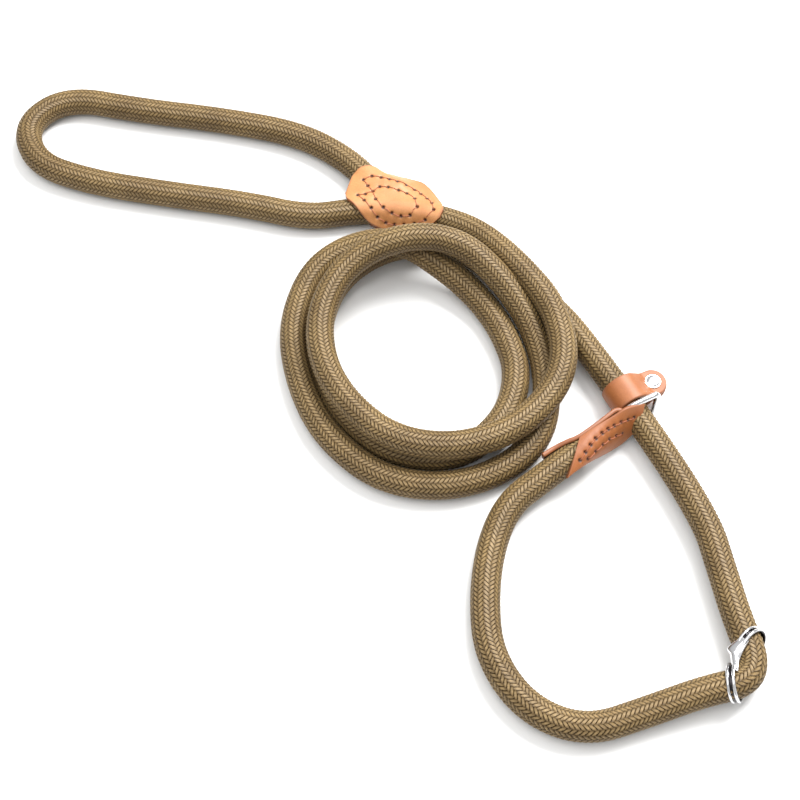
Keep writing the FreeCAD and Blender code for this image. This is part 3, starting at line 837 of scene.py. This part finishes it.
cap_row_a = [(0.11, 0.25), (0.15, 0.41), (0.20, 0.56), (0.26, 0.67), (0.35, 0.73), (0.44, 0.76), (0.54, 0.76),
             (0.65, 0.74), (0.76, 0.71), (0.86, 0.70)]
cap_row_b = [(0.22, 0.17), (0.30, 0.29), (0.39, 0.40), (0.49, 0.46), (0.61, 0.44), (0.72, 0.40)]
cap_shares = cap_row_a + cap_row_b
cap_hole_points = [sample(cap_near_sheet, *share) for share in cap_shares]
cap_near = hold(thicken("cap_near_leaf", cap_near_sheet, LEATHER_T, cap_hole_points, HOLE_R, HOLE_DEPTH),
                "slip_end", STRAP_LEATHER, "tan_leather", "end_cap")
cap_far = hold(thicken("cap_far_leaf", cap_far_sheet, LEATHER_T), "slip_end", STRAP_LEATHER, "tan_leather")
runs = [list(range(len(cap_row_a))), list(range(len(cap_row_a), len(cap_shares)))]
for number, line in enumerate(stitched(cap_near_sheet, cap_shares, runs, 0.08, LEATHER_T)):
    piece = tube_piece("cap_thread_%d" % number, line, THREAD_R)
    if number == 0:
        hold(piece, "slip_end", THREAD, "thread", "end_cap_stitching")
    else:
        hold(piece, "slip_end", THREAD, "thread")

hold(thicken("stopper_leather", strap_sheet, LEATHER_T),
     "stopper", STRAP_LEATHER, "tan_leather", "stopper_strap")
RIVET = [(0.02, 1.15), (1.2, 1.12), (2.1, 0.98), (2.7, 0.72), (2.9, 0.60), (3.05, 0.66), (3.35, 0.60),
         (3.5, 0.35), (3.5, 0.0)]
RIVET_FOOT_SCALE = 3.2 / 3.5
RIVETS = [("rivet_head", 1, 1.0, "rivet_cap"), ("rivet_foot", -1, RIVET_FOOT_SCALE, "rivet_base")]
for name, side, scale, node in RIVETS:
    profile = smooth_line([(r * scale, h) for r, h in RIVET], 40)
    centre = placed(np.array([RIVET_AT, 0.0, side * 2.05]), LEAD_TURN, STOPPER)
    hold(lathe_piece(name, profile, centre, (0, 0, side)), "stopper", CHROME, "chrome", node)

hold(tube_piece("ring_wire", placed(ring_line, LEAD_TURN, RING), RING_WIRE_R, 24, True),
     "slip_ring", CHROME, "chrome", "slip_ring")

for number, (centre, heading, tilt) in enumerate(BANDS):
    piece = lathe_piece("limiter_band_%d" % number, smooth_line(BAND, 96, True),
                        centre, heading_axis(heading, tilt), groove_r=BAND_GROOVE_R)
    if number == 0:
        hold(piece, "limiter", CHROME, "chrome", "size_limiter")
    else:
        hold(piece, "limiter", CHROME, "chrome")
web_sheet = strip_grid(WEB_LEFT, WEB_RIGHT, [0.3, 0.6, 0.8, 0.6, 0.4, 0.2], 80, 30)
hold(thicken("limiter_web", web_sheet, 1.5), "limiter", CHROME, "chrome")

# ---- Rope pieces, cut where the part's bodies meet
CUT_LEAD = route.ring_near((120.5, -150, RAISED_Z))
CUT_BIGHT = route.ring_near((126, -231.3, RAISED_Z))
CUT_NOOSE = route.ring_near((42, -222, 6))
LAST_RING = len(route.line) - 1
ROPE_STRETCHES = [
    ("rope_main", 0, CUT_LEAD, ["rope_handle", "rope_coil", "rope_lead"]),
    ("rope_fold", CUT_LEAD, CUT_BIGHT, ["rope_lead_end", "rope_bight"]),
    ("rope_noose_low", CUT_BIGHT, CUT_NOOSE, ["rope_noose"]),
    ("rope_noose_high", CUT_NOOSE, LAST_RING, []),
]
ropes = {}
for name, first, last, replaced in ROPE_STRETCHES:
    piece = route.piece(name, first, last)
    dress(piece, ROPE)
    if replaced:
        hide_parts(*replaced)
    ropes[name] = (piece, first, last)

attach(ropes["rope_main"][0], "rope")
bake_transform(ropes["rope_fold"][0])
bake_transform(ropes["rope_noose_low"][0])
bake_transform(ropes["rope_noose_high"][0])
